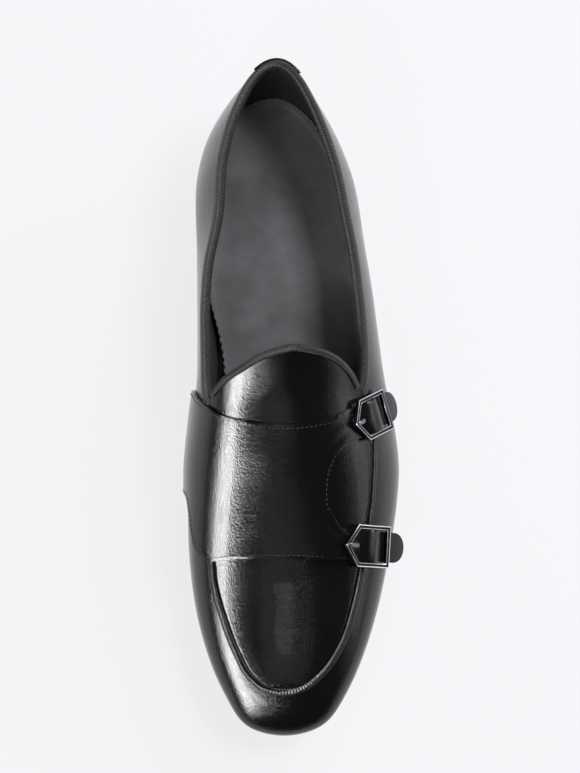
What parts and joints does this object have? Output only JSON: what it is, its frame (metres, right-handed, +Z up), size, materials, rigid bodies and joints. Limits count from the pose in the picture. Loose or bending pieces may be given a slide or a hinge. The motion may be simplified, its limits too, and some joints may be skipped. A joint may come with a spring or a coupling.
{
  "type": "monk strap shoe",
  "caption": "Low-cut loafer for a left foot with a wide instep strap that splits into buckled straps, an apron toe, a ribbon-bound collar, a thin sole and a low stacked heel",
  "frame": {"origin": "middle of the heel's flat bottom, on the floor", "axes": "+Z up, -Y towards the toe, +X towards the lateral side of the foot"},
  "size_m": [0.0985, 0.3013, 0.079],
  "materials": {
    "upper_leather": "polished black calf, fine grain, soft wide highlight",
    "sole_leather": "black dyed and waxed sole leather",
    "heel_rubber": "matt black rubber",
    "insole_leather": "matt dark grey leather",
    "binding_ribbon": "black ribbed ribbon",
    "buckle_metal": "dark polished metal with bright edges"
  },
  "bodies": {
    "root": {"outsole": "sole_leather", "heel_stack": "sole_leather", "heel_top_piece": "heel_rubber", "insole": "insole_leather", "upper": "upper_leather", "saddle": "upper_leather", "apron_seam_toe": "upper_leather", "apron_seam_side": "upper_leather", "heel_tab": "upper_leather", "collar_binding": "binding_ribbon", "tongue_binding": "binding_ribbon", "buckle_frame_upper": "buckle_metal", "buckle_prong_upper": "buckle_metal", "buckle_frame_lower": "buckle_metal", "buckle_prong_lower": "buckle_metal"}
  },
  "joints": []
}
